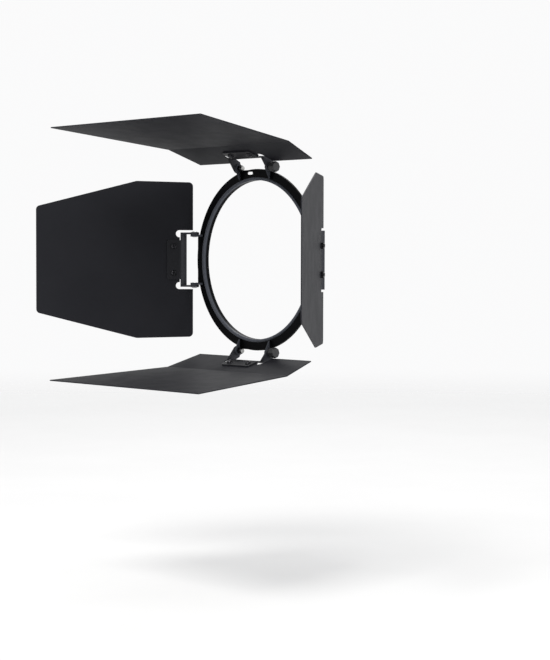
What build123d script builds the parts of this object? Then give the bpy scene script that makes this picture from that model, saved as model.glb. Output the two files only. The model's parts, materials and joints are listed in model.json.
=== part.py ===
"""Four-leaf barn door for a 200 mm Fresnel lamp head.

Frame: the origin is the centre of the ring's aperture, in the plane of the rear seat of the ring.
The light leaves towards -Y, Z is up, and X is to the right for someone facing the ring's front.

Each hinge has its own frame at its pivot: t along the hinge pin, u along the leaf away from the
ring, and n square to the leaf, outward. Leaves and brackets are drawn in that frame, at the
opening angle that they have at rest.
"""

from build123d import *
from collections import namedtuple
import math
import os

os.makedirs("parts", exist_ok=True)

# --- ring -----------------------------------------------------------------------------------
RING_R = 125.0            # outer radius of the flat rim
BORE_R = 109.5            # clear aperture, which the lamp's spigot enters
PLATE_T = 3.0             # thickness of the rim; its rear face is y = 0
COLLAR_T = 2.0            # wall of the collar round the aperture
COLLAR_REAR = 5.0         # collar behind the rear face
LIP_W = 4.2               # rounded lip in front of the rim, from the aperture outward
LIP_PROUD = 1.8
LIP_ROUND = 1.6
LUG_FLAT = 124.0          # distance from the centre to the flat edge of a lug
LUG_HALF = 32.2           # half length of the top and bottom lugs, to the ears' outer faces
SIDE_LUG_HALF = 35.7      # and of the left and right lugs
BOND_SLOT_X = -12.9       # slot for a safety bond, in the top lug
BOND_SLOT_Z = 119.6
BOND_SLOT_L = 13.0
BOND_SLOT_W = 4.0

# --- hinge ----------------------------------------------------------------------------------
PIVOT_R = 126.5           # pivot axis: distance from the beam axis
PIVOT_Y = -7.0            # and its place along the beam
PIN_R = 3.0               # rivets and clamp bolts
RUNNING_GAP = 0.05        # radial and axial gap of the pivots
EAR_T = 2.8
EAR_R = 6.0               # round end of an ear
EAR_FOOT_R = 110.2        # inner end of an ear's foot, at the lip
EAR_FOOT_DEPTH = 5.6      # how far the foot's inner end stands forward of the rear face
WASHER_T = 0.5            # friction washer between ear and arm
WASHER_R = 6.0
SPRING_T = 0.4            # disc spring: thickness and cone height
SPRING_CONE = 0.2
SPRING_R = 5.8
ARM_T = 2.6               # arms are thicker than the plate they are welded to
ARM_R = 6.5               # round eye of an arm
RIVET_HEAD_R = 3.9
RIVET_HEAD_H = 1.0
RIVET_CROWN_R = 2.2       # flat middle of a rivet's head
RIVET_RIM_H = 0.4         # straight rim of a rivet's head

# --- bracket --------------------------------------------------------------------------------
SHEET_T = 2.0             # bracket sheet
FOOT_HALF = 28.0          # half width of the plate that lies on the leaf
FOOT_FRONT = 38.5         # u of its front edge
PLATE_CORNER_R = 3.0      # front corners of the plate
ROLL_START = 19.6         # u where the plate rolls outward, over the leaf's edge
ROLL_MID_U = 14.8         # middle and end of the roll's mid-line
ROLL_MID_RISE = 1.6
ROLL_END_U = 10.8
ROLL_END_N = 11.0
ROLL_R = 2.5              # bend radius of the roll's mid-line
ARM_HEEL = (-0.5, 9.8)    # rear outer corner of an arm, as u and n
SCREW_T = 19.0            # leaf screws: place along the hinge
SCREW_U = 29.5            # and along the leaf

# --- leaves ---------------------------------------------------------------------------------
LEAF_T = 1.5
LEAF_N = 8.2              # mid-plane of a leaf from the pivot
LEAF_U = 1.5              # hinge edge of a leaf from the pivot
NOTCH_FROM_LUG = 1.4      # centre line of a notch for an arm, outside the lug's end
NOTCH_R = 5.0
NOTCH_DEPTH = 24.6        # from the hinge edge
TAB_CUT = 19.0            # the edge between the notches is cut back this far

SIDE_HINGE_W = 221.0      # side leaves: flat, straight, then tapered
SIDE_KINK_W = 224.0
SIDE_FAR_W = 150.0
SIDE_KINK_L = 81.0
SIDE_LENGTH = 223.0
SIDE_CORNER_R = 6.0
KINK_R = 12.0

WIDE_HINGE_W = 230.0      # top and bottom leaves: folded once, flared
WIDE_FOLD_W = 249.0
WIDE_FAR_W = 316.0
WIDE_NEAR_L = 55.0
WIDE_FAR_L = 179.0
FOLD_ANGLE = 14.0         # the far panel leans in by this much
FOLD_R = 1.5              # inner radius of the fold

# --- fasteners ------------------------------------------------------------------------------
SCREW_R = 2.4
SCREW_CLEARANCE = 0.2     # of a screw in its holes
SCREW_HEAD_R = 4.2
SCREW_HEAD_H = 2.8
SCREW_TAIL = 1.3          # thread past the nut
SCREW_HEAD_ROUND = 1.6
RECESS_L = 4.4            # cross recess of a leaf screw
RECESS_W = 0.9
RECESS_DEPTH = 1.4
NUT_AF = 8.0
NUT_H = 4.0
BOLT_HEAD_R = 4.4         # domed heads of the pivot and clamp bolts
BOLT_HEAD_H = 3.6
BOLT_HEAD_ROUND = 2.4
BOLT_SLOT_W = 1.2
BOLT_SLOT_DEPTH = 1.0
BOLT_TAIL = 1.0           # bolt past its lock nut
LOCK_NUT_AF = 8.0
LOCK_NUT_HEX_H = 4.4
LOCK_NUT_COLLAR_R = 3.8   # round collar that holds the nut's nylon ring
LOCK_NUT_H = 6.4
KNOB_R = 7.4
KNOB_H = 8.0
KNOB_NECK_R = 6.0         # neck that keeps the grip clear of the rim
KNOB_NECK_H = 2.5
KNOB_SIDES = 8
KNOB_TURN = 22.5          # sets a flat of the knob level
KNOB_CORNER_R = 1.6
KNOB_CAP = 1.0
INSERT_R = 4.3
INSERT_H = 6.5

FORWARD = Vector(0, -1, 0)

# name, outward direction, opening angle of the leaf from the beam axis at rest, half length of
# the lug, and for a hinge with a clamp knob the sign of t on the knob's side, which is +X
HINGES = (
    ("top", Vector(0, 0, 1), 21.5, LUG_HALF, -1),
    ("bottom", Vector(0, 0, -1), 18.0, LUG_HALF, 1),
    ("left", Vector(-1, 0, 0), 33.0, SIDE_LUG_HALF, None),
    ("right", Vector(1, 0, 0), 39.5, SIDE_LUG_HALF, None),
)

# place of each layer of a pivot along the hinge pin, from the middle of the hinge outward
Stack = namedtuple("Stack", "ear_in ear_out arm_in arm_out spring seat")


def stack_of(lug_half):
    """Layers of a pivot: ear, washer, arm, disc spring, and the seat of a head or knob."""
    arm_in = lug_half + WASHER_T + RUNNING_GAP
    arm_out = arm_in + ARM_T
    spring = arm_out + RUNNING_GAP
    return Stack(lug_half - EAR_T, lug_half, arm_in, arm_out, spring, spring + SPRING_T + SPRING_CONE)


def write(part, name):
    """Label a finished piece and write it as its own file."""
    part.label = name
    export_step(part, f"parts/{name}.step")


def pivot_point(outward):
    return outward * PIVOT_R - FORWARD * PIVOT_Y


def leaf_plane(outward, opening):
    """Frame of a leaf: x is t along the pin, y is u along the leaf, z is n outward."""
    angle = math.radians(opening)
    normal = outward * math.cos(angle) - FORWARD * math.sin(angle)
    return Plane(origin=pivot_point(outward), x_dir=FORWARD.cross(outward), z_dir=normal)


def side_plane(frame, t):
    """Plane square to the pin at t: local x is u, local y is n, and it extrudes along +t."""
    origin = frame.from_local_coords(Vector(t, 0, 0))
    return Plane(origin=origin, x_dir=frame.y_dir, z_dir=frame.x_dir)


def pin_plane(outward, t):
    """Plane square to the pin at t, extruding along +t: local x is forward, local y outward."""
    axis = FORWARD.cross(outward)
    return Plane(origin=pivot_point(outward) + axis * t, x_dir=FORWARD, z_dir=axis)


# --- outlines that several pieces share, each on its own plane --------------------------------
def ear_outline():
    """An ear: a foot on the lug and a round end about the pivot, with the pin's hole."""
    foot = EAR_FOOT_R - PIVOT_R
    with BuildSketch() as ear:
        with BuildLine():
            CenterArc((0, 0), EAR_R, 0, 360)
            Polyline((PIVOT_Y, LUG_FLAT - PIVOT_R), (PIVOT_Y, foot), (PIVOT_Y + EAR_FOOT_DEPTH, foot))
        make_hull()
        Circle(PIN_R + RUNNING_GAP, mode=Mode.SUBTRACT)
    return ear.sketch


def arm_outline():
    """An arm of a bracket: a gusset from the plate's roll to a round eye about the pivot."""
    plate_in = LEAF_N - LEAF_T / 2 - SHEET_T
    with BuildSketch() as arm:
        with BuildLine():
            CenterArc((0, 0), ARM_R, 0, 360)
            Polyline((ROLL_START, plate_in), (ROLL_END_U, ROLL_END_N), ARM_HEEL)
        make_hull()
    return arm.sketch


def notch_outline(lug_half):
    """Two round-bottomed notches for the arms, and the cut-back edge between them."""
    straight = NOTCH_DEPTH - NOTCH_R
    middle = lug_half + NOTCH_FROM_LUG
    with BuildSketch() as notches:
        for t in (-middle, middle):
            with Locations((t, LEAF_U + straight)):
                Circle(NOTCH_R)
            with Locations((t, LEAF_U)):
                Rectangle(2 * NOTCH_R, straight, align=(Align.CENTER, Align.MIN))
        with Locations((0, LEAF_U)):
            Rectangle(2 * middle, TAB_CUT, align=(Align.CENTER, Align.MIN))
    return notches.sketch


def screw_outline(radius):
    """Circles at the two leaf screws."""
    with BuildSketch() as spots:
        with Locations((-SCREW_T, SCREW_U), (SCREW_T, SCREW_U)):
            Circle(radius)
    return spots.sketch


EAR = ear_outline()
ARM = arm_outline()
SCREW_HOLES = screw_outline(SCREW_R + SCREW_CLEARANCE)


# --- ring frame: flat rim, collar with a rounded bead, four lugs with two ears each -----------
def ring_frame():
    with BuildPart() as ring:
        with BuildSketch(Plane.XZ):
            Circle(RING_R)
            Rectangle(2 * LUG_HALF, 2 * LUG_FLAT)
            Rectangle(2 * LUG_FLAT, 2 * SIDE_LUG_HALF)
            Circle(BORE_R, mode=Mode.SUBTRACT)
        extrude(amount=PLATE_T)
        with BuildSketch(Plane.XZ.offset(-COLLAR_REAR)):
            Circle(BORE_R + COLLAR_T)
            Circle(BORE_R, mode=Mode.SUBTRACT)
        extrude(amount=COLLAR_REAR)
        with BuildSketch(Plane.XZ):
            Circle(BORE_R + LIP_W)
            Circle(BORE_R, mode=Mode.SUBTRACT)
        extrude(amount=PLATE_T + LIP_PROUD)
        lip = ring.edges().filter_by(GeomType.CIRCLE).group_by(Axis.Y)[0]
        fillet(lip, LIP_ROUND)
        for _, outward, _, lug_half, _ in HINGES:
            stack = stack_of(lug_half)
            for inner_face in (stack.ear_in, -stack.ear_out):
                with BuildSketch(pin_plane(outward, inner_face)):
                    add(EAR)
                extrude(amount=EAR_T)
        # safety-bond slot, left of the middle of the top lug
        with BuildSketch(Plane.XZ.offset(PLATE_T)):
            with Locations((BOND_SLOT_X, BOND_SLOT_Z)):
                SlotOverall(BOND_SLOT_L, BOND_SLOT_W)
        extrude(amount=-PLATE_T, mode=Mode.SUBTRACT)
    write(ring.part, "ring_frame")


# --- leaves -------------------------------------------------------------------------------
def side_leaf(name, frame, lug_half):
    """Flat leaf: a straight stretch at the hinge, then a taper to the far edge."""
    inner = frame.offset(LEAF_N - LEAF_T / 2)
    with BuildPart() as leaf:
        with BuildSketch(inner) as outline:
            with BuildLine():
                Polyline(
                    (-SIDE_HINGE_W / 2, LEAF_U),
                    (SIDE_HINGE_W / 2, LEAF_U),
                    (SIDE_KINK_W / 2, LEAF_U + SIDE_KINK_L),
                    (SIDE_FAR_W / 2, LEAF_U + SIDE_LENGTH),
                    (-SIDE_FAR_W / 2, LEAF_U + SIDE_LENGTH),
                    (-SIDE_KINK_W / 2, LEAF_U + SIDE_KINK_L),
                    close=True,
                )
            make_face()
            hinge_corners = outline.vertices().group_by(Axis.Y)[0]
            far_corners = outline.vertices().group_by(Axis.Y)[-1]
            fillet(hinge_corners + far_corners, SIDE_CORNER_R)
            kink_u = LEAF_U + SIDE_KINK_L
            fillet(outline.vertices().filter_by_position(Axis.Y, kink_u - 1, kink_u + 1), KINK_R)
        extrude(amount=LEAF_T)
        with BuildSketch(inner):
            add(notch_outline(lug_half))
            add(SCREW_HOLES)
        extrude(amount=LEAF_T, mode=Mode.SUBTRACT)
    write(leaf.part, name)


def wide_leaf(name, frame, lug_half):
    """Leaf folded once along its width, and flared towards the far edge."""
    lean = math.radians(FOLD_ANGLE)
    fold_u = LEAF_U + WIDE_NEAR_L
    far_u = fold_u + WIDE_FAR_L * math.cos(lean)
    low, high = LEAF_N - LEAF_T / 2, LEAF_N + LEAF_T / 2
    drop = WIDE_FAR_L * math.sin(lean)
    skin = LEAF_T * math.tan(lean / 2)
    tip = (LEAF_T * math.sin(lean), LEAF_T * math.cos(lean))
    inner = frame.offset(low)
    with BuildPart() as leaf:
        with BuildSketch(side_plane(frame, 0)) as section:
            with BuildLine():
                Polyline(
                    (LEAF_U, low),
                    (fold_u, low),
                    (far_u, low - drop),
                    (far_u + tip[0], low - drop + tip[1]),
                    (fold_u + skin, high),
                    (LEAF_U, high),
                    close=True,
                )
            make_face()
            fold = section.vertices().filter_by_position(Axis.X, fold_u - 1, fold_u + 1)
            outer_fold, inner_fold = fold.sort_by(Axis.Y, reverse=True)
            fillet(inner_fold, FOLD_R)
            fillet(outer_fold, FOLD_R + LEAF_T)
        extrude(amount=WIDE_FAR_W, both=True)
        with BuildSketch(frame.offset(low - WIDE_FAR_L / 2)):
            with BuildLine():
                Polyline(
                    (-WIDE_HINGE_W / 2, LEAF_U - 1),
                    (WIDE_HINGE_W / 2, LEAF_U - 1),
                    (WIDE_FOLD_W / 2, fold_u),
                    (WIDE_FAR_W / 2, far_u + 1),
                    (-WIDE_FAR_W / 2, far_u + 1),
                    (-WIDE_FOLD_W / 2, fold_u),
                    close=True,
                )
            make_face()
        extrude(amount=WIDE_FAR_L, mode=Mode.INTERSECT)
        with BuildSketch(inner):
            add(notch_outline(lug_half))
            add(SCREW_HOLES)
        extrude(amount=LEAF_T, mode=Mode.SUBTRACT)
    write(leaf.part, name)


# --- brackets -----------------------------------------------------------------------------
def bracket(name, frame, stack):
    """Plate on the leaf's inner face, rolled outward at the leaf's edge, with an arm each end."""
    plate_out = LEAF_N - LEAF_T / 2
    plate_in = plate_out - SHEET_T
    middle = plate_out - SHEET_T / 2
    with BuildPart() as stirrup:
        with BuildSketch(side_plane(frame, -stack.arm_out)):
            with BuildLine():
                FilletPolyline(
                    (FOOT_FRONT, middle),
                    (ROLL_START, middle),
                    (ROLL_MID_U, middle + ROLL_MID_RISE),
                    (ROLL_END_U, ROLL_END_N),
                    radius=ROLL_R,
                )
            trace(line_width=SHEET_T)
        extrude(amount=2 * stack.arm_out)
        with BuildSketch(frame):
            with Locations((0, ROLL_START)):
                Rectangle(2 * stack.arm_out, ROLL_START, align=(Align.CENTER, Align.MAX))
                RectangleRounded(2 * FOOT_HALF, 2 * (FOOT_FRONT - ROLL_START), PLATE_CORNER_R)
        extrude(amount=2 * LEAF_N, mode=Mode.INTERSECT)
        for inner_face in (stack.arm_in, -stack.arm_out):
            with BuildSketch(side_plane(frame, inner_face)):
                add(ARM)
            extrude(amount=ARM_T)
        with BuildSketch(side_plane(frame, -stack.arm_out)):
            Circle(PIN_R + RUNNING_GAP)
        extrude(amount=2 * stack.arm_out, mode=Mode.SUBTRACT)
        with BuildSketch(frame.offset(plate_in)):
            add(SCREW_HOLES)
        extrude(amount=SHEET_T, mode=Mode.SUBTRACT)
    write(stirrup.part, name)


# --- pivots -------------------------------------------------------------------------------
def turned(frame, sign, outline):
    """Solid of revolution about the pin: outline is (distance along the pin, radius) points."""
    axis = frame.x_dir * sign
    section = Plane(origin=frame.origin, x_dir=axis, z_dir=frame.z_dir.cross(axis))
    with BuildPart() as piece:
        with BuildSketch(section):
            with BuildLine():
                Polyline(*outline, close=True)
            make_face()
        revolve(axis=Axis(frame.origin, axis))
    return piece.part


def ring_layer(frame, sign, start, thickness, inner, outer, cone=0.0):
    """Flat washer, or with a cone height a disc spring, from start outward along the pin."""
    return turned(frame, sign, (
        (start, outer),
        (start + thickness, outer),
        (start + thickness + cone, inner),
        (start + cone, inner),
    ))


def rivet(frame, sign, stack):
    """Rivet through ear, washer and arm, with a low head at each end."""
    inner_head, outer_head = stack.ear_in - RIVET_HEAD_H, stack.seat + RIVET_HEAD_H
    return turned(frame, sign, (
        (inner_head, 0),
        (inner_head, RIVET_CROWN_R),
        (stack.ear_in - RIVET_RIM_H, RIVET_HEAD_R),
        (stack.ear_in, RIVET_HEAD_R),
        (stack.ear_in, PIN_R),
        (stack.seat, PIN_R),
        (stack.seat, RIVET_HEAD_R),
        (stack.seat + RIVET_RIM_H, RIVET_HEAD_R),
        (outer_head, RIVET_CROWN_R),
        (outer_head, 0),
    ))


def group(name, pieces):
    """Write identical loose pieces as one node of separate solids."""
    write(Compound(children=pieces) if len(pieces) > 1 else pieces[0], name)


def round_bolt(name, frame, seat, end):
    """Bolt with a domed, slotted head at seat and a plain shank from there to end."""
    way = math.copysign(1, end - seat)
    top = seat - way * BOLT_HEAD_H
    with BuildPart() as bolt:
        with BuildSketch(side_plane(frame, top)):
            Circle(BOLT_HEAD_R)
        extrude(amount=way * BOLT_HEAD_H)
        rims = bolt.edges().filter_by(GeomType.CIRCLE)
        fillet(rims.sort_by(Axis(frame.origin, frame.x_dir * way))[0], BOLT_HEAD_ROUND)
        with BuildSketch(side_plane(frame, seat)):
            Circle(PIN_R)
        extrude(amount=end - seat)
        with BuildSketch(side_plane(frame, top)):
            Rectangle(2 * BOLT_HEAD_R, BOLT_SLOT_W)
        extrude(amount=way * BOLT_SLOT_DEPTH, mode=Mode.SUBTRACT)
    write(bolt.part, name)


def lock_nut(name, frame, sign, stack):
    """Lock nut inside the ear: a hexagon, then a round collar with a nylon ring in it."""
    seat = sign * stack.ear_in
    with BuildPart() as nut:
        with BuildSketch(side_plane(frame, seat)):
            RegularPolygon(LOCK_NUT_AF / 2, 6, major_radius=False)
        extrude(amount=-sign * LOCK_NUT_HEX_H)
        with BuildSketch(side_plane(frame, seat)):
            Circle(LOCK_NUT_COLLAR_R)
        extrude(amount=-sign * LOCK_NUT_H)
        with BuildSketch(side_plane(frame, seat)):
            Circle(PIN_R)
        extrude(amount=-sign * LOCK_NUT_H, mode=Mode.SUBTRACT)
    write(nut.part, name)


def knob(name, frame, sign, stack):
    """Eight-sided grip on a round neck, with a recess for the threaded insert."""
    seat = stack.seat + RUNNING_GAP
    with BuildPart() as grip:
        with BuildSketch(side_plane(frame, sign * (seat + KNOB_NECK_H))) as outline:
            RegularPolygon(KNOB_R, KNOB_SIDES, rotation=KNOB_TURN)
            fillet(outline.vertices(), KNOB_CORNER_R)
        extrude(amount=sign * KNOB_H)
        cap = grip.faces().sort_by(Axis(frame.origin, frame.x_dir * sign))[-1]
        chamfer(cap.edges(), KNOB_CAP)
        with BuildSketch(side_plane(frame, sign * seat)):
            Circle(KNOB_NECK_R)
        extrude(amount=sign * KNOB_NECK_H)
        with BuildSketch(side_plane(frame, sign * seat)):
            Circle(INSERT_R)
        extrude(amount=sign * INSERT_H, mode=Mode.SUBTRACT)
    write(grip.part, name)


# --- screws that hold the bracket to the leaf -----------------------------------------------
def leaf_screws(name, frame):
    """Pan-headed screws with a cross recess, heads on the bracket's plate."""
    under_head = LEAF_N - LEAF_T / 2 - SHEET_T
    length = LEAF_T + SHEET_T + NUT_H + SCREW_TAIL
    with BuildPart() as screws:
        with BuildSketch(frame.offset(under_head)):
            add(screw_outline(SCREW_HEAD_R))
        extrude(amount=-SCREW_HEAD_H)
        tops = screws.edges().filter_by(GeomType.CIRCLE).group_by(Axis(frame.origin, frame.z_dir))[0]
        fillet(tops, SCREW_HEAD_ROUND)
        with BuildSketch(frame.offset(under_head)):
            add(screw_outline(SCREW_R))
        extrude(amount=length)
        with BuildSketch(frame.offset(under_head - SCREW_HEAD_H)):
            with Locations((-SCREW_T, SCREW_U), (SCREW_T, SCREW_U)):
                Rectangle(RECESS_L, RECESS_W)
                Rectangle(RECESS_W, RECESS_L)
        extrude(amount=RECESS_DEPTH, mode=Mode.SUBTRACT)
    write(screws.part, name)


def leaf_nuts(name, frame):
    """Hexagon nuts on the leaf's outer face."""
    seat = LEAF_N + LEAF_T / 2
    with BuildPart() as nuts:
        with BuildSketch(frame.offset(seat)):
            with Locations((-SCREW_T, SCREW_U), (SCREW_T, SCREW_U)):
                RegularPolygon(NUT_AF / 2, 6, major_radius=False)
                Circle(SCREW_R, mode=Mode.SUBTRACT)
        extrude(amount=NUT_H)
    write(nuts.part, name)


# --- the whole object -----------------------------------------------------------------------
ring_frame()

for side, outward, opening, lug_half, knob_sign in HINGES:
    frame = leaf_plane(outward, opening)
    stack = stack_of(lug_half)
    make_leaf = wide_leaf if side in ("top", "bottom") else side_leaf
    make_leaf(f"{side}_leaf", frame, lug_half)
    bracket(f"{side}_bracket", frame, stack)
    leaf_screws(f"{side}_leaf_screws", frame)
    leaf_nuts(f"{side}_leaf_nuts", frame)

    washers = [ring_layer(frame, sign, stack.ear_out, WASHER_T, PIN_R, WASHER_R) for sign in (-1, 1)]
    group(f"{side}_friction_washers", washers)
    springs = [
        ring_layer(frame, sign, stack.spring, SPRING_T, PIN_R, SPRING_R, SPRING_CONE)
        for sign in (-1, 1)
    ]
    group(f"{side}_disc_springs", springs)
    if knob_sign is None:
        group(f"{side}_pivot_rivets", [rivet(frame, sign, stack) for sign in (-1, 1)])
    else:
        # the pivot away from the knob: head outside the arm, lock nut inside the ear
        bolt_end = stack.ear_in - LOCK_NUT_H - BOLT_TAIL
        round_bolt(f"{side}_pivot_bolt", frame, -knob_sign * stack.seat, -knob_sign * bolt_end)
        lock_nut(f"{side}_pivot_nut", frame, -knob_sign, stack)
        # the clamped pivot: head inside the ear, knob outside the arm
        clamp_end = stack.seat + RUNNING_GAP + INSERT_H
        round_bolt(f"{side}_clamp_bolt", frame, knob_sign * stack.ear_in, knob_sign * clamp_end)
        knob(f"{side}_knob", frame, knob_sign, stack)
        insert = ring_layer(
            frame, knob_sign, stack.seat + RUNNING_GAP, INSERT_H, PIN_R + RUNNING_GAP, INSERT_R
        )
        write(insert, f"{side}_knob_insert")
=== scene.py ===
import json
import math

import bmesh
import bpy
from mathutils import Matrix, Vector


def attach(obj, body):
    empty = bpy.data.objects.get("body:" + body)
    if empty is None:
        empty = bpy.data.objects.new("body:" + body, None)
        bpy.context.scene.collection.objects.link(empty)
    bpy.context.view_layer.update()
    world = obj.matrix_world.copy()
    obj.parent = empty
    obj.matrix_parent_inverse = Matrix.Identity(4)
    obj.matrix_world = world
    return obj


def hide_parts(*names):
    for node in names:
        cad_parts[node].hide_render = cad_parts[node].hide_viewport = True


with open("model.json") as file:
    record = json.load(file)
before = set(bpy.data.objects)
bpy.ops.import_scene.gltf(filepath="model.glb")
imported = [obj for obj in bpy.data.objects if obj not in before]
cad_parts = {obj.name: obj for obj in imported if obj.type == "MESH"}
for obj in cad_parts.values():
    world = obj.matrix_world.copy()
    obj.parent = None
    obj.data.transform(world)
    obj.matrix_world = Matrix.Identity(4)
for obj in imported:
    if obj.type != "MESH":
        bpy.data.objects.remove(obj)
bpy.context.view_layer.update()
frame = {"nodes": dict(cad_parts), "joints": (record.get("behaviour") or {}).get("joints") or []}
NODES = frame["nodes"]
MM = 0.001

# --- camera: the photograph's viewing angle, distance and framing -----------------------------------
VIEW_AZIMUTH = 47.68
VIEW_ELEVATION = 2.32
VIEW_ROLL = 0.14
VIEW_DISTANCE = 2.4464
FOCAL_LENGTH = 116.16
SENSOR_WIDTH = 36.0
CLIP = (0.05, 60.0)
RIM_FRONT = Vector((0.0, -0.003, 0.0))      # centre of the rim's front face: sets the view
RIM_OFF_CENTRE = (-0.02698, 0.09658)        # how far right and up of the view's axis it stands

# --- stage, in metres and watts ---------------------------------------------------------------------
FLOOR_Z = -0.45                             # below the lower leaf at the end of its travel
FLOOR_R = 6.0
FLOOR_SIDES = 96
FLOOR_FADE = (1.2, 5.0)                     # where the floor starts and ends fading out
FLOOR_TONE = (0.72, 0.72, 0.72)
FLOOR_MOTTLE = 3.0
FLOOR_MOTTLE_SPAN = (0.3, 0.7)
FLOOR_MOTTLE_LIGHTER = 1.02
FLOOR_ROUGHNESS = 0.85
FLOOR_SPECULAR = 0.1
STUDIO_TONE = (0.96, 0.96, 0.963)
LIGHT_TARGET = Vector((0, -0.05, 0))
LIGHTS = (                                  # name, place, size, power, tone
    ("key", (0.7, -2.0, 2.1), (1.1, 0.9), 54.0, (1.0, 0.99, 0.975)),
    ("fill", (2.4, 0.2, -0.1), (1.0, 1.0), 24.0, (0.97, 0.985, 1.0)),
    ("rim", (-1.6, 1.8, 1.9), (1.4, 0.8), 18.0, (1.0, 1.0, 1.0)),
)

# --- hinges: outward direction and opening angle at rest --------------------------------------------
OUTWARD = {"top": (0, 0, 1), "bottom": (0, 0, -1), "left": (-1, 0, 0), "right": (1, 0, 0)}
OPENING = {"top": 21.5, "bottom": 18.0, "left": 33.0, "right": 39.5}
SIDES = tuple(OUTWARD)
FORWARD = Vector((0, -1, 0))
KNOB_SIGN = {"top": -1, "bottom": 1}        # end of the pin with the knob; side hinges have none

# --- fasteners, in millimetres in their hinge's frame: t along the pin, u along the leaf, n outward -
SCREW_T = 19.0
SCREW_U = 29.5
SCREW_R = 2.4
SCREW_HEAD_R = 4.2
SCREW_HEAD_H = 2.8
SCREW_HEAD_ROUND = 2.3                      # radius that rounds the head's rim
SCREW_HEAD_ARC = (-70, 0, 7)                # its start and end in degrees, and steps
SCREW_HEAD_CROWN = 0.15                     # how far the arc stays under the head's full height
SCREW_HEAD_FLAT = (2.4, 0.042)              # radius of the head's middle, and how far it stays under
SCREW_HEAD_EDGE = 0.08
SCREW_TAIL = 1.3                            # what shows past the nut
SCREW_THREADED = 1.0                        # length of thread that is hidden in the nut
SCREW_ANGLES = (17, 41, 23)                 # as driven: the first, one more screw, one more side
CROSS_REACH = 2.1                           # from the head's middle to the end of a recess's arm
CROSS_HALF_WIDTH = 0.62
CROSS_STEPS = ((0.45, 1.35), (0.88, 0.45), (1.0, 0.058))    # share of the reach, and depth
CROSS_FLOOR = 1.715
THREAD_PITCH = 0.8
THREAD_DEPTH = 0.35
THREAD_CORE = SCREW_R - THREAD_DEPTH * 1.15
THREAD_FORM = (                             # place in the pitch, and share of the depth
    (0.0, -1.0), (0.25, -0.15), (0.45, 0.0), (0.55, 0.0), (0.80, -0.35),
)
THREAD_RUN_OUT = 0.6                        # in pitches
THREAD_STEP = 0.02                          # height over which the shank drops to the core
NUT_AF = 8.0
NUT_H = 4.0
HEX_CROWN = 0.97                            # share of the flats' radius where the chamfer starts
HEX_CHAMFER = 30.0
HEX_STEPS = 8                               # points along one side
COUNTERSINK = 0.45
LEAF_N = 8.2                                # middle of the leaf's thickness
LEAF_T = 1.5
SHEET_T = 2.0
EAR_IN = 29.4                               # inner face of an ear of the top and bottom hinges
SIDE_EAR_IN = 32.9                          # and of the side hinges
SIDE_SEAT = 39.5                            # where a rivet's outer head sits
PIN_R = 3.0
RIVET_HEAD_R = 3.9
RIVET_HEAD_H = 1.0
RIVET_DOME = 0.7                            # share of the head's height that is domed
RIVET_EDGE = 0.06
RIVET_ROLLED = 0.30                         # share of the dome that the dimple takes
RIVET_DIMPLE = ((0.27, 0.16), (0.20, 0.42), (0.0, 0.50))    # share of the head's radius, and depth
LOCK_NUT_AF = 8.0
LOCK_NUT_HEX_H = 4.4
LOCK_NUT_COLLAR_R = 3.8
LOCK_NUT_H = 6.4
LOCK_NUT_FOLD = 0.9                         # radius that rounds the collar
LOCK_NUT_MOUTH = (0.12, 0.5)                # width and height of the collar's inner chamfer
LOCK_NUT_OVERLAP = 0.2                      # how far the collar runs into the hexagon
AROUND = 48                                 # points round a turned piece
THREAD_AROUND = 40
SMOOTH_ANGLE = 35.0
SAME_PLACE = 1e-7                           # in metres: vertices this near are one

# --- powder coat: noises in features per metre; a span is the part of a noise that is faded over ----
STRETCH_TURN = (0.5, 0.35, 0.8)             # turns stretched noise away from the faces, in radians
EDGE_SAMPLES = 6
SLOW_NOISE = 9.0                            # unevenness of the sprayed coat
SLOW_SPAN = (0.30, 0.72)
SLOW_SHARE = 0.55
CLOUD_NOISE = 42.0                          # decides where the coat is scuffed, thin or shiny
PATCH_SPAN = (0.56, 0.72)
THIN_SPAN = (0.30, 0.60)
THIN_LEAST = 0.30
THIN_GLOSS = 0.08
SHINE_SPAN = (0.28, 0.74)
SHINE_SWING = (0.02, -0.03)
GRAIN_NOISE = 2400.0
GRAIN_SPAN = (0.40, 0.72)
GRAIN_SHARE = 0.35
GRAIN_DEPTH = 0.01 * MM
GRAIN_STRENGTH = 0.5
PEBBLE_NOISE = 900.0
PEBBLE_DEPTH = 0.03 * MM
PEBBLE_STRENGTH = 0.55
SCUFF_NOISE = 260.0
SCUFF_STRETCH = (1.0, 0.035, 1.0)
SCUFF_SPAN = (0.68, 0.76)
SCUFF_SHARE = 0.35
SCUFF_LIGHTER = 3.0
COAT_EDGE = 0.9 * MM
COAT_EDGE_SPAN = (0.02, 0.30)
COAT_EDGE_LIGHTER = 5.0
CHIP_NOISE = 420.0
CHIP_SPAN = (0.58, 0.64)
CHIP_EDGE_SPAN = (0.45, 0.9)
CHIP_SLOW_SPAN = (0.45, 0.60)
BARE_METAL = (0.30, 0.30, 0.31)

# --- places with painted highlight, in metres; y is 0 on the rim's rear face and grows towards the lamp -----
LIP_R = 0.1137                              # outer radius of the ring's rounded lip
LIP_FADE = (LIP_R + 0.2 * MM, LIP_R - 0.4 * MM)
LIP_Y = (0.0005, -0.0020)
EARS_Y = (-0.0052, -0.0062)
EARS_SHARE = 0.55
ARMS_Y = (-0.0225, -0.0175)

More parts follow.
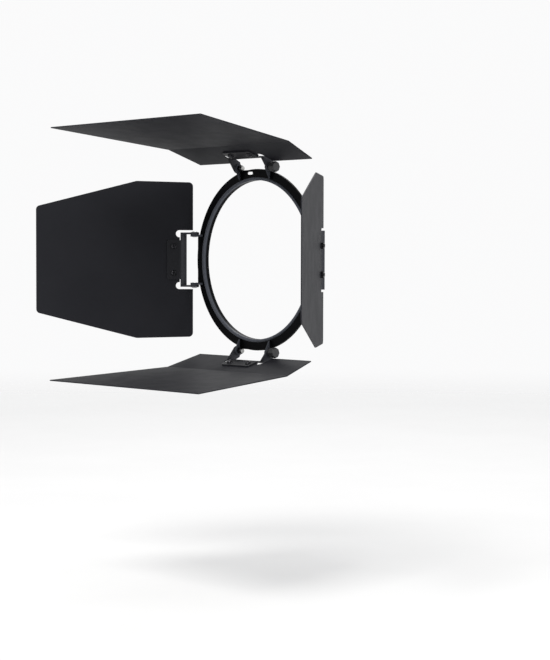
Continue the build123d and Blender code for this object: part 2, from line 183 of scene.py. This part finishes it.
# --- plated steel and moulded plastic ---------------------------------------------------------------
STAIN_NOISE = 260.0
STAIN_SPAN = (0.38, 0.70)
MARK_NOISE = 1500.0
BRASS_MARK_NOISE = 2200.0
MARK_STRETCH = (1.0, 0.25, 1.0)
MARK_SPAN = (0.55, 0.75)
MARK_SHARE = 0.35
MARK_DARKER = 0.55
MARK_DEPTH = 0.02 * MM
MARK_STRENGTH = 0.5
PLATE_SHINE_SPAN = (0.30, 0.70)
PLATE_SHINE_SWING = (-0.08, 0.12)
SPARK_NOISE = 2600.0
SPARK_SPAN = (0.40, 0.70)
SPARK_DEPTH = 0.025 * MM
SPARK_STRENGTH = 0.6
HANDLED_NOISE = 160.0
HANDLED_SPAN = (0.35, 0.65)
HANDLED_SHARES = (0.1, 0.5)
HANDLED_LIGHTER = 2.5
HANDLED_GLOSS = 0.14
MOULDED_EDGE = 0.5 * MM
MOULDED_EDGE_SPAN = (0.02, 0.35)
MOULDED_SHINE_SPAN = (0.3, 0.7)
MOULDED_SHINE_SWING = (0.06, -0.05)

# --- broken edges of the CAD nodes ------------------------------------------------------------------
EDGE_BREAK = {
    "_leaf": 0.35 * MM,
    "ring_frame": 0.40 * MM,
    "_bracket": 0.40 * MM,
    "_knob": 0.35 * MM,
    "_clamp_bolt": 0.12 * MM,
    "_pivot_bolt": 0.12 * MM,
}
EDGE_ANGLE = 40.0
EDGE_SEGMENTS = 2
WELD_CAD = 2e-6
WELD_BEVEL = 1e-6
FLAT_FACE_WEIGHT = 80


# === materials ======================================================================================
def scaled(tone, factor):
    """The tone made lighter, or darker, by a factor."""
    return tuple(channel * factor for channel in tone)


class Surface:
    """A procedural material: a Principled shader, and short calls that add nodes to it."""

    def __init__(self, name):
        self.material = bpy.data.materials.new(name)
        self.material.use_nodes = True
        self.tree = self.material.node_tree
        self.shader = self.tree.nodes["Principled BSDF"]
        self.place = self.add("ShaderNodeTexCoord").outputs["Object"]

    def add(self, kind, **settings):
        made = self.tree.nodes.new(kind)
        for key, value in settings.items():
            setattr(made, key, value)
        return made

    def join(self, source, target):
        self.tree.links.new(source, target)

    def fill(self, socket, value):
        """Links a node's output to the socket, or sets the socket's own value."""
        if isinstance(value, bpy.types.NodeSocket):
            self.join(value, socket)
        elif isinstance(value, tuple) and len(value) == 3 and socket.type == "RGBA":
            socket.default_value = (*value, 1.0)
        else:
            socket.default_value = value

    def noise(self, scale, detail=3.0, roughness=0.55, stretch=None):
        """Noise in features per metre, which stays on the piece."""
        made = self.add("ShaderNodeTexNoise")
        place = self.place
        if stretch:
            mapping = self.add("ShaderNodeMapping")
            self.join(place, mapping.inputs["Vector"])
            mapping.inputs["Scale"].default_value = stretch
            mapping.inputs["Rotation"].default_value = STRETCH_TURN
            place = mapping.outputs["Vector"]
        self.join(place, made.inputs["Vector"])
        made.inputs["Scale"].default_value = scale
        made.inputs["Detail"].default_value = detail
        made.inputs["Roughness"].default_value = roughness
        return made.outputs["Fac"]

    def remap(self, value, span, start=0.0, end=1.0):
        """Fades smoothly from start to end as the value goes along the span."""
        made = self.add("ShaderNodeMapRange", interpolation_type="SMOOTHSTEP")
        self.fill(made.inputs["Value"], value)
        for socket, number in zip(("From Min", "From Max", "To Min", "To Max"), (*span, start, end)):
            self.fill(made.inputs[socket], number)
        return made.outputs["Result"]

    def maths(self, operation, first, second=0.0):
        made = self.add("ShaderNodeMath", operation=operation)
        self.fill(made.inputs[0], first)
        self.fill(made.inputs[1], second)
        return made.outputs[0]

    def times(self, first, second):
        return self.maths("MULTIPLY", first, second)

    def mix(self, share, first, second):
        made = self.add("ShaderNodeMix", data_type="RGBA")
        factor, colour_a, colour_b = made.inputs[0], made.inputs[6], made.inputs[7]
        self.fill(factor, share)
        self.fill(colour_a, first)
        self.fill(colour_b, second)
        return made.outputs[2]

    def split_place(self):
        """The three coordinates of the place on the piece."""
        split = self.add("ShaderNodeSeparateXYZ")
        self.join(self.place, split.inputs[0])
        return split.outputs

    def edges(self, radius, span):
        """1 on the outer edges and corners, 0 on flat faces."""
        bevel = self.add("ShaderNodeBevel", samples=EDGE_SAMPLES)
        bevel.inputs["Radius"].default_value = radius
        geometry = self.add("ShaderNodeNewGeometry")
        dot = self.add("ShaderNodeVectorMath", operation="DOT_PRODUCT")
        self.join(bevel.outputs["Normal"], dot.inputs[0])
        self.join(geometry.outputs["Normal"], dot.inputs[1])
        turned = self.maths("SUBTRACT", 1.0, dot.outputs["Value"])
        return self.remap(turned, span)

    def bump(self, height, distance, strength, under=None):
        made = self.add("ShaderNodeBump")
        made.inputs["Strength"].default_value = strength
        made.inputs["Distance"].default_value = distance
        self.join(height, made.inputs["Height"])
        if under:
            self.join(under, made.inputs["Normal"])
        return made.outputs["Normal"]

    def finish(self, colour, roughness, normal=None, metallic=0.0, specular=0.5):
        self.fill(self.shader.inputs["Base Color"], colour)
        self.fill(self.shader.inputs["Roughness"], roughness)
        self.fill(self.shader.inputs["Metallic"], metallic)
        self.fill(self.shader.inputs["Specular IOR Level"], specular)
        if normal:
            self.join(normal, self.shader.inputs["Normal"])
        return self.material


def lip_and_ears(s):
    """Painted highlight mask: 1 on the ring's rounded lip, EARS_SHARE on the ears that stand in front
    of it.
    """
    x, y, z = s.split_place()
    radius = s.maths("SQRT", s.maths("ADD", s.maths("POWER", x, 2.0), s.maths("POWER", z, 2.0)))
    lip = s.times(s.remap(radius, LIP_FADE), s.remap(y, LIP_Y))
    return s.maths("MAXIMUM", lip, s.times(s.remap(y, EARS_Y), EARS_SHARE))


def arms(s):
    """Painted highlight mask: 1 on the arms of a bracket near the pivot, 0 on its plate."""
    return s.remap(s.split_place()[1], ARMS_Y)


# a place with painted highlight: its mask, its share of the lighter tone, how much lighter that is,
# and its shine
LIP_PAINTED_HIGHLIGHT = (lip_and_ears, 0.85, 32.0, 0.08)
ARMS_PAINTED_LIGHT = (arms, 0.9, 2.2, None)


def powder_coat(name, tone, haze, roughness, specular, wear, painted_light=None):
    """Baked powder paint: fine pebbled grain over a slow unevenness, worn lighter along edges,
    and painted lighter over a whole place as painted highlight, if that place is given."""
    s = Surface(name)
    slow = s.noise(SLOW_NOISE, detail=3.0)
    cloud = s.noise(CLOUD_NOISE, detail=4.0)
    grain = s.noise(GRAIN_NOISE, detail=2.0)
    pebble = s.noise(PEBBLE_NOISE, detail=3.0)
    body = s.mix(s.remap(slow, SLOW_SPAN, end=SLOW_SHARE), tone, haze)
    body = s.mix(s.remap(grain, GRAIN_SPAN, end=GRAIN_SHARE), body, haze)
    # painted highlight: the given place is made lighter, standing in for light falling on it
    if painted_light:
        mask, share, lighter, polish = painted_light
        lit_place = mask(s)
        body = s.mix(s.times(lit_place, share), body, scaled(haze, lighter))
    # hairline scuffs in patches
    lines = s.noise(SCUFF_NOISE, detail=2.0, roughness=0.5, stretch=SCUFF_STRETCH)
    scuff = s.times(s.remap(lines, SCUFF_SPAN), s.remap(cloud, PATCH_SPAN))
    body = s.mix(s.times(scuff, SCUFF_SHARE), body, scaled(haze, SCUFF_LIGHTER))
    # edges: the coat is thinner and polished, and on some corners rubbed through
    edge = s.edges(COAT_EDGE, COAT_EDGE_SPAN)
    thin = s.times(edge, s.remap(cloud, THIN_SPAN, THIN_LEAST, 1.0))
    body = s.mix(s.times(thin, wear), body, scaled(haze, COAT_EDGE_LIGHTER))
    spots = s.remap(s.noise(CHIP_NOISE, detail=4.0, roughness=0.7), CHIP_SPAN)
    chips = s.times(s.remap(edge, CHIP_EDGE_SPAN), spots)
    chips = s.times(chips, s.remap(slow, CHIP_SLOW_SPAN))
    body = s.mix(s.times(chips, wear), body, BARE_METAL)
    gloss = s.remap(cloud, SHINE_SPAN, *(roughness + swing for swing in SHINE_SWING))
    gloss = s.maths("SUBTRACT", gloss, s.times(thin, THIN_GLOSS))
    if painted_light and polish:
        gloss = s.maths("SUBTRACT", gloss, s.times(lit_place, polish))
    relief = s.bump(pebble, PEBBLE_DEPTH, PEBBLE_STRENGTH)
    relief = s.bump(grain, GRAIN_DEPTH, GRAIN_STRENGTH, under=relief)
    return s.finish(body, gloss, relief, specular=specular)


def metal(name, tone, stain, roughness, mark_noise=MARK_NOISE):
    """Bare or plated metal: cloudy, with fine tumbling marks that are darker."""
    s = Surface(name)
    cloud = s.noise(STAIN_NOISE, detail=4.0, roughness=0.6)
    marks = s.noise(mark_noise, detail=3.0, stretch=MARK_STRETCH)
    body = s.mix(s.remap(cloud, STAIN_SPAN), tone, stain)
    body = s.mix(s.remap(marks, MARK_SPAN, end=MARK_SHARE), body, scaled(stain, MARK_DARKER))
    gloss = s.remap(marks, PLATE_SHINE_SPAN, *(roughness + swing for swing in PLATE_SHINE_SWING))
    return s.finish(body, gloss, s.bump(marks, MARK_DEPTH, MARK_STRENGTH), metallic=1.0)


def moulded(name, tone, light, roughness):
    """Moulded plastic: spark-eroded texture, shinier where hands have rubbed its edges."""
    s = Surface(name)
    texture = s.noise(SPARK_NOISE, detail=2.0)
    cloud = s.noise(HANDLED_NOISE, detail=4.0)
    edge = s.edges(MOULDED_EDGE, MOULDED_EDGE_SPAN)
    body = s.mix(s.remap(texture, SPARK_SPAN), tone, light)
    handled = s.times(edge, s.remap(cloud, HANDLED_SPAN, *HANDLED_SHARES))
    body = s.mix(handled, body, scaled(light, HANDLED_LIGHTER))
    gloss = s.remap(cloud, MOULDED_SHINE_SPAN, *(roughness + swing for swing in MOULDED_SHINE_SWING))
    gloss = s.maths("SUBTRACT", gloss, s.times(edge, HANDLED_GLOSS))
    return s.finish(body, gloss, s.bump(texture, SPARK_DEPTH, SPARK_STRENGTH))


# each coat: tone, haze, roughness, specular level, wear
LEAF_COAT = powder_coat(
    "leaf_powder_coat", (0.0140, 0.0143, 0.0172), (0.0180, 0.0184, 0.0214), 0.52, 0.045, 0.30
)
RING_COAT = powder_coat(
    "ring_powder_coat", (0.0012, 0.0013, 0.0017), (0.0026, 0.0028, 0.0033), 0.44, 0.040, 0.50,
    LIP_PAINTED_HIGHLIGHT,
)
BRACKET_COAT = powder_coat(
    "bracket_powder_coat", (0.0118, 0.0121, 0.0144), (0.0142, 0.0146, 0.0170), 0.42, 0.11, 0.60,
    ARMS_PAINTED_LIGHT,
)
BRIGHT_STEEL = metal("bright_zinc", (0.46, 0.46, 0.45), (0.30, 0.30, 0.295), 0.34)
DARK_STEEL = metal("black_zinc", (0.046, 0.046, 0.050), (0.022, 0.022, 0.025), 0.24)
SPRING_STEEL = metal("spring_steel", (0.36, 0.355, 0.35), (0.20, 0.21, 0.24), 0.34)
NYLON = moulded("friction_nylon", (0.020, 0.020, 0.020), (0.032, 0.032, 0.032), 0.50)
KNOB_PLASTIC = moulded("knob_plastic", (0.011, 0.011, 0.012), (0.019, 0.019, 0.020), 0.46)
BRASS = metal(
    "turned_brass", (0.66, 0.48, 0.22), (0.48, 0.33, 0.14), 0.28, BRASS_MARK_NOISE
)

FINISHES = {
    "_leaf": LEAF_COAT,
    "ring_frame": RING_COAT,
    "_bracket": BRACKET_COAT,
    "_rivets": BRIGHT_STEEL,
    "_pivot_bolt": BRIGHT_STEEL,
    "_pivot_nut": DARK_STEEL,
    "_clamp_bolt": BRIGHT_STEEL,
    "_disc_springs": SPRING_STEEL,
    "_friction_washers": NYLON,
    "_leaf_screws": DARK_STEEL,
    "_leaf_nuts": DARK_STEEL,
    "_knob": KNOB_PLASTIC,
    "_knob_insert": BRASS,
}


def finish_for(node):
    """The material of a CAD node, by the longest ending that its name has."""
    ending = max((e for e in FINISHES if node.endswith(e)), key=len)
    return FINISHES[ending]


def dress(obj, material):
    obj.data.materials.clear()
    obj.data.materials.append(material)


# === CAD nodes: their own shapes, with broken edges =================================================
def break_edges(obj, width):
    """Small radius on every sharp edge, with flat faces kept flat in the shading."""
    weld = obj.modifiers.new("weld", "WELD")
    weld.merge_threshold = WELD_CAD
    bevel = obj.modifiers.new("edge_break", "BEVEL")
    bevel.width = width
    bevel.segments = EDGE_SEGMENTS
    bevel.limit_method = "ANGLE"
    bevel.angle_limit = math.radians(EDGE_ANGLE)
    bevel.miter_outer = "MITER_ARC"
    bevel.use_clamp_overlap = True
    clean = obj.modifiers.new("clean", "WELD")
    clean.merge_threshold = WELD_BEVEL
    normals = obj.modifiers.new("flat_faces", "WEIGHTED_NORMAL")
    normals.keep_sharp = True
    normals.weight = FLAT_FACE_WEIGHT


for node, obj in NODES.items():
    dress(obj, finish_for(node))
    for ending, width in EDGE_BREAK.items():
        if node.endswith(ending):
            break_edges(obj, width)


# === fasteners with their real detail ===============================================================
def hinge_matrix(side):
    """Hinge frame: t along the pin, u along the leaf and n outward, at the pivot."""
    joint = next(j for j in frame["joints"] if j["name"] == f"{side}_leaf_hinge")
    outward = Vector(OUTWARD[side])
    angle = math.radians(OPENING[side])
    t = FORWARD.cross(outward)
    n = outward * math.cos(angle) - FORWARD * math.sin(angle)
    u = n.cross(t)
    turn = Matrix((t, u, n)).transposed().to_4x4()
    return Matrix.Translation(Vector(joint["pos_m"])) @ turn @ Matrix.Scale(MM, 4)


def along_pin(matrix, sign):
    """Frame whose local z runs along the hinge pin, outward on that side."""
    return matrix @ Matrix(((0, 0, sign, 0), (1, 0, 0, 0), (0, sign, 0, 0), (0, 0, 0, 1)))


def vertex(bm, place, radius, angle, height):
    """Adds a vertex at an angle round local z."""
    return bm.verts.new(place @ Vector((radius * math.cos(angle), radius * math.sin(angle), height)))


def bridge(bm, rings):
    """Adds the faces between each ring of vertices and the next; a ring of one vertex is a point."""
    for lower, upper in zip(rings, rings[1:]):
        count = max(len(lower), len(upper))
        for i in range(count):
            j = (i + 1) % count
            if len(lower) == 1:
                bm.faces.new((lower[0], upper[j], upper[i]))
            elif len(upper) == 1:
                bm.faces.new((lower[i], lower[j], upper[0]))
            else:
                bm.faces.new((lower[i], lower[j], upper[j], upper[i]))


def full_circle(count):
    """Angles of count points, evenly round a circle."""
    return [2 * math.pi * i / count for i in range(count)]


def lathe(bm, place, outline):
    """Adds the surface of revolution of (radius, height) points about local z."""
    rings = []
    for radius, height in outline:
        angles = full_circle(AROUND) if radius else [0.0]
        rings.append([vertex(bm, place, radius, a, height) for a in angles])
    bridge(bm, rings)


def arc(centre, radius, start, end, steps):
    """Points on an arc in the (radius, height) plane, angles in degrees."""
    points = []
    for k in range(steps + 1):
        a = math.radians(start + (end - start) * k / steps)
        points.append((centre[0] + radius * math.cos(a), centre[1] + radius * math.sin(a)))
    return points


def thread(bm, place, low, high):
    """Adds a screw's thread as one continuous helical groove, from low to high along local z."""
    rows = []
    turns = int(math.ceil((high - low) / THREAD_PITCH)) + 1
    for i in range(THREAD_AROUND * turns + 1):
        row = []
        for along, inset in THREAD_FORM:
            z = low - THREAD_PITCH + THREAD_PITCH * (i / THREAD_AROUND + along)
            z = min(max(z, low), high)
            fade = min(1.0, max(0.0, (high - z) / (THREAD_RUN_OUT * THREAD_PITCH)))
            r = SCREW_R - THREAD_DEPTH * (1 - fade) + THREAD_DEPTH * inset * fade
            row.append(vertex(bm, place, r, 2 * math.pi * i / THREAD_AROUND, z))
        rows.append(row)
    for first, second in zip(rows, rows[1:]):
        for k in range(len(THREAD_FORM) - 1):
            bm.faces.new((first[k], second[k], second[k + 1], first[k + 1]))
    one_turn_on = rows[THREAD_AROUND:]
    for first, second, above, beside in zip(rows, rows[1:], one_turn_on[1:], one_turn_on):
        bm.faces.new((first[-1], second[-1], above[0], beside[0]))


def hexagon(bm, place, flats, bore, bottom, top):
    """Adds a hexagon with chamfered corners and a countersunk hole, between two local heights."""
    flat = flats / 2
    corner = flat / math.cos(math.radians(30))
    slope = math.tan(math.radians(HEX_CHAMFER))
    crown = flat * HEX_CROWN
    outer = []
    for side in range(6):
        a0, a1 = math.radians(60 * side - 30), math.radians(60 * side + 30)
        p0 = Vector((math.cos(a0), math.sin(a0))) * corner
        p1 = Vector((math.cos(a1), math.sin(a1))) * corner
        outer += [p0.lerp(p1, k / HEX_STEPS) for k in range(HEX_STEPS)]

    def ring(radius, height):
        return [bm.verts.new(place @ Vector((*(p.normalized() * radius), height))) for p in outer]

    def rim(height, way):
        drops = [max(0.0, p.length - crown) * slope * way for p in outer]
        return [bm.verts.new(place @ Vector((*p, height + d))) for p, d in zip(outer, drops)]

    rings = [
        ring(bore, bottom + COUNTERSINK), ring(bore + COUNTERSINK, bottom), ring(crown, bottom),
        rim(bottom, 1), rim(top, -1),
        ring(crown, top), ring(bore + COUNTERSINK, top), ring(bore, top - COUNTERSINK),
    ]
    bridge(bm, rings + rings[:1])


def pan_screw(bm, place):
    """Adds a pan-headed screw, from its head to its tail along local z: cross recess in the head,
    thread on what shows past the nut."""
    seat = LEAF_N - LEAF_T / 2 - SHEET_T
    top = seat - SCREW_HEAD_H
    nut_end = LEAF_N + LEAF_T / 2 + NUT_H
    end = nut_end + SCREW_TAIL
    angles = full_circle(AROUND)
    cross = []
    for a in angles:
        turn = abs(((a + math.pi / 4) % (math.pi / 2)) - math.pi / 4)
        reach = CROSS_HALF_WIDTH / max(math.sin(turn), 1e-3)
        cross.append(max(min(CROSS_REACH, reach), CROSS_HALF_WIDTH))

    def ring(radius, height):
        return [vertex(bm, place, radius, a, height) for a in angles]

    rings = [[vertex(bm, place, 0.0, 0.0, top + CROSS_FLOOR)]]
    for share, depth in CROSS_STEPS:
        rings.append([vertex(bm, place, r * share, a, top + depth) for a, r in zip(angles, cross)])
    flat_r, flat_depth = SCREW_HEAD_FLAT
    rings.append(ring(flat_r, top + flat_depth))
    middle = (SCREW_HEAD_R - SCREW_HEAD_ROUND, top + SCREW_HEAD_CROWN + SCREW_HEAD_ROUND)
    for radius, height in arc(middle, SCREW_HEAD_ROUND, *SCREW_HEAD_ARC):
        rings.append(ring(radius, height))
    rings.append(ring(SCREW_HEAD_R, seat - SCREW_HEAD_EDGE))
    rings.append(ring(SCREW_HEAD_R - SCREW_HEAD_EDGE, seat))
    rings.append(ring(SCREW_R, seat))
    thread_start = nut_end - SCREW_THREADED
    rings.append(ring(SCREW_R, thread_start))
    rings.append(ring(THREAD_CORE, thread_start + THREAD_STEP))
    rings.append(ring(THREAD_CORE, end))
    rings.append([vertex(bm, place, 0.0, 0.0, end)])
    bridge(bm, rings)
    thread(bm, place, thread_start, end)


def rivet(bm, place):
    """Adds a set rivet: a low domed head inside the ear and a rolled head outside the arm."""
    dome = RIVET_HEAD_H * RIVET_DOME
    sphere = (RIVET_HEAD_R ** 2 + dome ** 2) / (2 * dome)
    spread = math.degrees(math.asin(RIVET_HEAD_R / sphere))
    inner_top = SIDE_EAR_IN - RIVET_HEAD_H
    outer_top = SIDE_SEAT + RIVET_HEAD_H
    outline = [(0.0, inner_top)]
    outline += arc((0, inner_top + sphere), sphere, -90, -90 + spread, 8)[1:]
    outline += [(RIVET_HEAD_R, SIDE_EAR_IN - RIVET_EDGE), (RIVET_HEAD_R - RIVET_EDGE, SIDE_EAR_IN)]
    outline += [(PIN_R, SIDE_EAR_IN), (PIN_R, SIDE_SEAT), (RIVET_HEAD_R - RIVET_EDGE, SIDE_SEAT)]
    outline += arc((0, outer_top - sphere), sphere, 90 - spread, 90 - spread * RIVET_ROLLED, 6)
    outline += [(RIVET_HEAD_R * share, outer_top - depth) for share, depth in RIVET_DIMPLE]
    lathe(bm, place, outline)


def lock_nut(bm, place):
    """Adds a lock nut inside the ear: chamfered hexagon and a round collar."""
    hexagon_end = EAR_IN - LOCK_NUT_HEX_H
    collar_end = EAR_IN - LOCK_NUT_H
    hexagon(bm, place, LOCK_NUT_AF, PIN_R, hexagon_end, EAR_IN)
    mouth_width, mouth_height = LOCK_NUT_MOUTH
    fold_middle = (LOCK_NUT_COLLAR_R - LOCK_NUT_FOLD, collar_end + LOCK_NUT_FOLD)
    outline = [(PIN_R, collar_end + mouth_height), (PIN_R + mouth_width, collar_end)]
    outline += arc(fold_middle, LOCK_NUT_FOLD, -90, 0, 6)
    inside = hexagon_end + LOCK_NUT_OVERLAP
    outline += [(LOCK_NUT_COLLAR_R, inside), (PIN_R, inside), outline[0]]
    lathe(bm, place, outline)


def make_object(name, bm, material, node, body):
    """Turns a finished mesh into a piece that stands for a CAD node."""
    bmesh.ops.remove_doubles(bm, verts=bm.verts[:], dist=SAME_PLACE)
    bmesh.ops.dissolve_degenerate(bm, edges=bm.edges[:], dist=SAME_PLACE)
    bmesh.ops.holes_fill(bm, edges=[e for e in bm.edges if e.is_boundary], sides=0)
    bmesh.ops.recalc_face_normals(bm, faces=bm.faces[:])
    mesh = bpy.data.meshes.new(name)
    bm.to_mesh(mesh)
    bm.free()
    mesh.shade_smooth()
    mesh.set_sharp_from_angle(angle=math.radians(SMOOTH_ANGLE))
    obj = bpy.data.objects.new(name, mesh)
    bpy.context.scene.collection.objects.link(obj)
    dress(obj, material)
    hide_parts(node)
    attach(obj, body)


first_angle, screw_angle, side_angle = SCREW_ANGLES
for number, side in enumerate(SIDES):
    matrix = hinge_matrix(side)
    body = f"{side}_leaf_body"
    screws, nuts, pivots = bmesh.new(), bmesh.new(), bmesh.new()
    for k, t in enumerate((-SCREW_T, SCREW_T)):
        driven = math.radians(first_angle + screw_angle * k + side_angle * number)
        place = matrix @ Matrix.Translation((t, SCREW_U, 0)) @ Matrix.Rotation(driven, 4, "Z")
        pan_screw(screws, place)
        nut_place = place @ Matrix.Translation((0, 0, LEAF_N + LEAF_T / 2))
        hexagon(nuts, nut_place, NUT_AF, SCREW_R, 0.0, NUT_H)
    make_object(f"{side}_pan_screws", screws, DARK_STEEL, f"{side}_leaf_screws", body)
    make_object(f"{side}_hex_nuts", nuts, DARK_STEEL, f"{side}_leaf_nuts", body)
    if side in KNOB_SIGN:
        lock_nut(pivots, along_pin(matrix, -KNOB_SIGN[side]))
        replaced = f"{side}_pivot_nut"
        make_object(f"{side}_lock_nut", pivots, DARK_STEEL, replaced, "frame")
    else:
        for sign in (-1, 1):
            rivet(pivots, along_pin(matrix, sign))
        replaced = f"{side}_pivot_rivets"
        make_object(f"{side}_set_rivets", pivots, BRIGHT_STEEL, replaced, "frame")


# === stage, light and camera ========================================================================
def studio():
    """Pale floor that fades into an even, pale surround."""
    world = bpy.data.worlds.new("studio")
    bpy.context.scene.world = world
    world.use_nodes = True
    background = world.node_tree.nodes["Background"]
    background.inputs["Color"].default_value = (*STUDIO_TONE, 1.0)
    background.inputs["Strength"].default_value = 1.0

    bm = bmesh.new()
    bmesh.ops.create_circle(bm, cap_ends=True, segments=FLOOR_SIDES, radius=FLOOR_R)
    mesh = bpy.data.meshes.new("floor")
    bm.to_mesh(mesh)
    bm.free()
    floor = bpy.data.objects.new("floor", mesh)
    floor.location = (0, 0, FLOOR_Z)
    bpy.context.scene.collection.objects.link(floor)
    s = Surface("pale_floor")
    mottle = s.remap(s.noise(FLOOR_MOTTLE), FLOOR_MOTTLE_SPAN)
    tone = s.mix(mottle, FLOOR_TONE, scaled(FLOOR_TONE, FLOOR_MOTTLE_LIGHTER))
    s.finish(tone, FLOOR_ROUGHNESS, specular=FLOOR_SPECULAR)
    length = s.add("ShaderNodeVectorMath", operation="LENGTH")
    s.join(s.place, length.inputs[0])
    away = s.remap(length.outputs["Value"], FLOOR_FADE)
    clear = s.add("ShaderNodeBsdfTransparent")
    both = s.add("ShaderNodeMixShader")
    s.join(away, both.inputs[0])
    s.join(s.shader.outputs[0], both.inputs[1])
    s.join(clear.outputs[0], both.inputs[2])
    s.join(both.outputs[0], s.tree.nodes["Material Output"].inputs["Surface"])
    dress(floor, s.material)


def soft_light(name, place, size, power, tone):
    """A rectangular light that looks at the object."""
    data = bpy.data.lights.new(name, "AREA")
    data.shape = "RECTANGLE"
    data.size, data.size_y = size
    data.energy = power
    data.color = tone
    light = bpy.data.objects.new(name, data)
    light.location = place
    light.rotation_mode = "QUATERNION"
    light.rotation_quaternion = (LIGHT_TARGET - Vector(place)).to_track_quat("-Z", "Y")
    bpy.context.scene.collection.objects.link(light)


def main_camera():
    """The photograph's camera, from VIEW_AZIMUTH and the other view values."""
    azimuth, elevation = math.radians(VIEW_AZIMUTH), math.radians(VIEW_ELEVATION)
    right = Vector((math.cos(azimuth), math.sin(azimuth), 0))
    back = Vector((
        math.sin(azimuth) * math.cos(elevation),
        -math.cos(azimuth) * math.cos(elevation),
        math.sin(elevation),
    ))
    up = back.cross(right)
    data = bpy.data.cameras.new("camera")
    data.sensor_fit = "HORIZONTAL"
    data.sensor_width = SENSOR_WIDTH
    data.lens = FOCAL_LENGTH
    data.clip_start, data.clip_end = CLIP
    camera = bpy.data.objects.new("camera", data)
    bpy.context.scene.collection.objects.link(camera)
    roll = Matrix.Rotation(math.radians(VIEW_ROLL), 4, "Z")
    turn = Matrix((right, up, back)).transposed().to_4x4() @ roll
    place = RIM_FRONT + back * VIEW_DISTANCE - right * RIM_OFF_CENTRE[0] - up * RIM_OFF_CENTRE[1]
    camera.matrix_world = Matrix.Translation(place) @ turn
    bpy.context.scene.camera = camera


studio()
for light in LIGHTS:
    soft_light(*light)
main_camera()
bpy.context.scene.view_settings.view_transform = "Standard"
